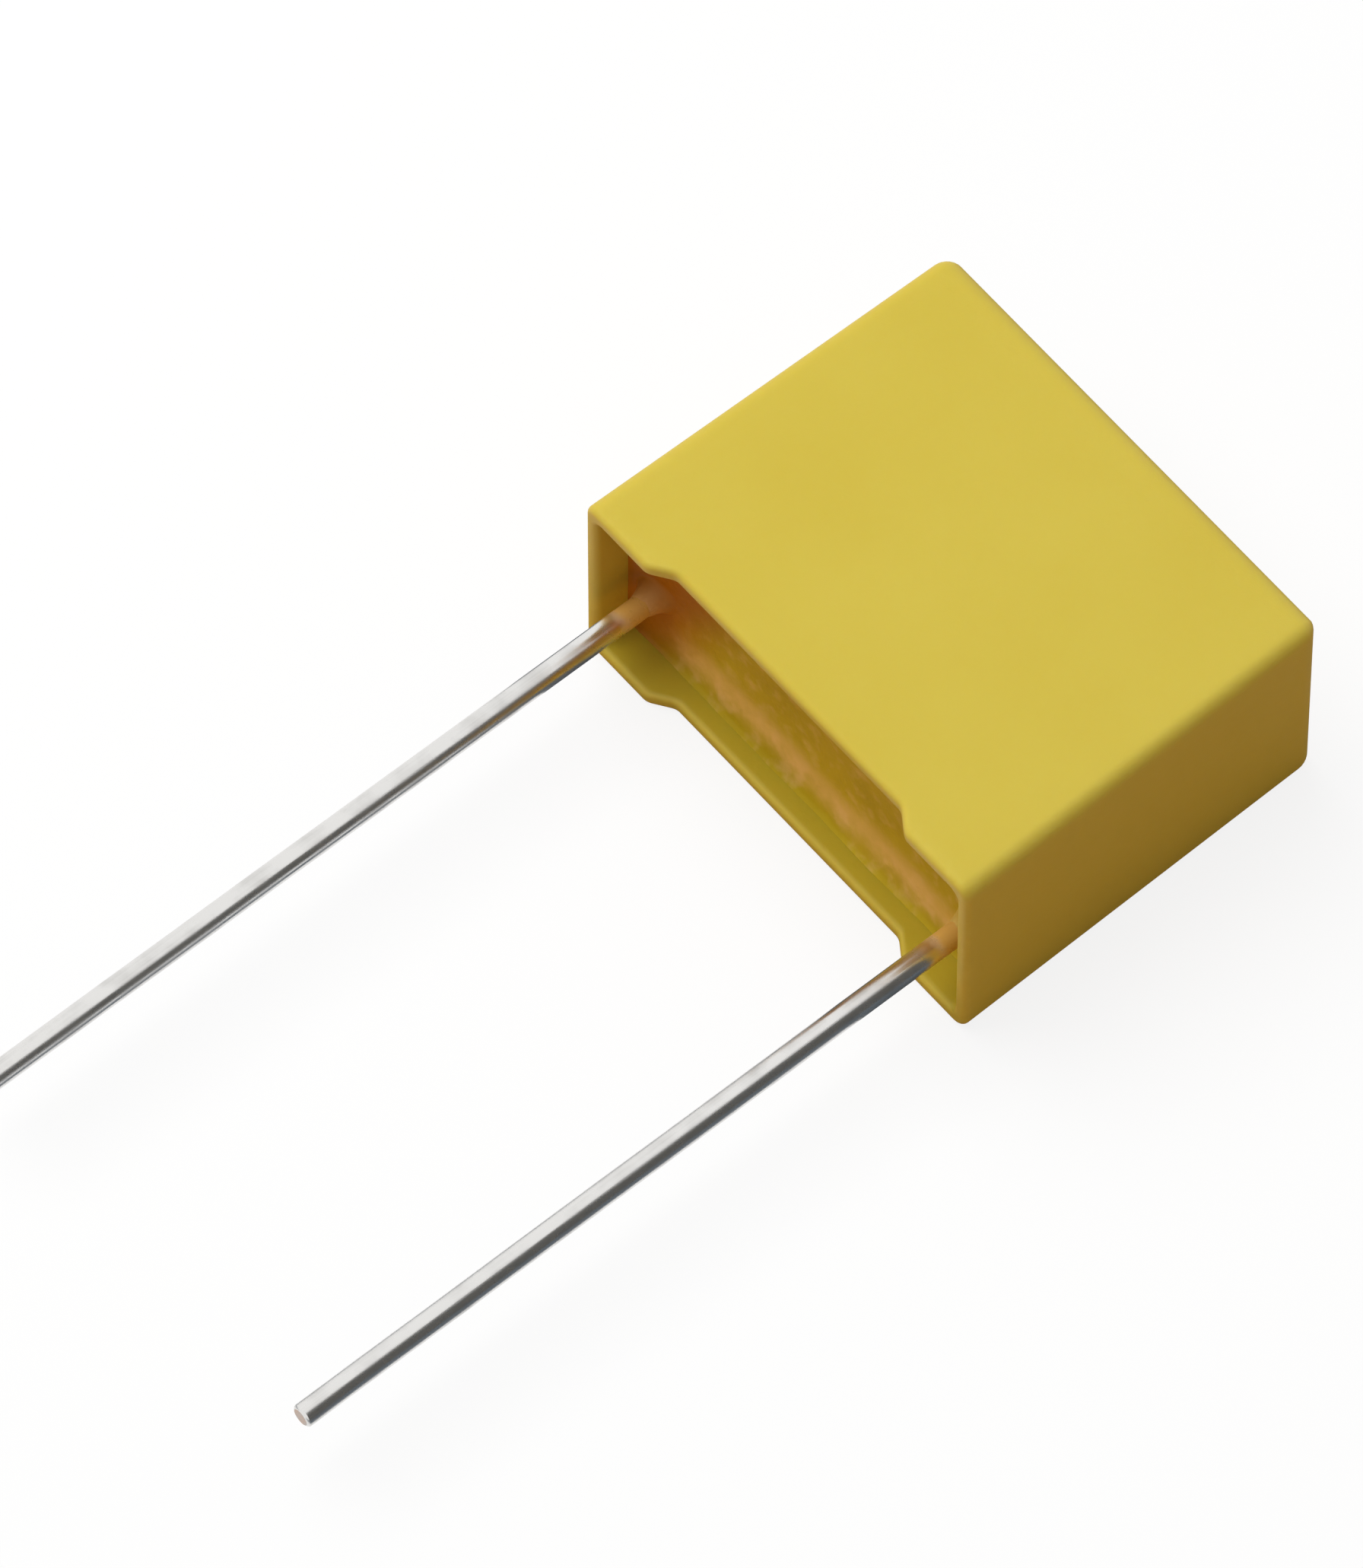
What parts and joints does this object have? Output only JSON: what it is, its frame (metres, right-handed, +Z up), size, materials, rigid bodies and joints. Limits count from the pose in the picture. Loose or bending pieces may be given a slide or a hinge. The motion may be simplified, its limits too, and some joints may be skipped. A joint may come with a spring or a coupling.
{
  "type": "polyester film capacitor",
  "caption": "Box-type film capacitor: a rectangular moulded box open on one narrow side, filled with resin, with straight round wire leads for through-hole mounting.",
  "frame": {"origin": "middle of the lower broad face, on which the part lies; the seating plane of the feet is at Y = -7.25 mm and the closed end at Y = +7.25 mm", "axes": "+X along the lead spacing, -Y along the leads from the open end to their tips, +Z up through the thickness"},
  "size_m": [0.018, 0.0394, 0.0085],
  "materials": {
    "box_plastic": "yellow flame-retardant moulding, fine satin skin",
    "potting_resin": "amber brown epoxy with a wet gloss, slightly uneven where it climbs the walls",
    "metallised_film": "silvery metallised polyester film",
    "plain_film": "clear polyester film turns",
    "sprayed_zinc": "grainy grey sprayed zinc",
    "tinned_wire": "bright tinned wire with faint drawing lines"
  },
  "bodies": {
    "root": {"case": "box_plastic", "resin_fill": "potting_resin", "film_winding": "metallised_film", "wrap_film": "plain_film", "end_spray_left": "sprayed_zinc", "end_spray_right": "sprayed_zinc", "lead_left": "tinned_wire", "lead_right": "tinned_wire"}
  },
  "joints": []
}
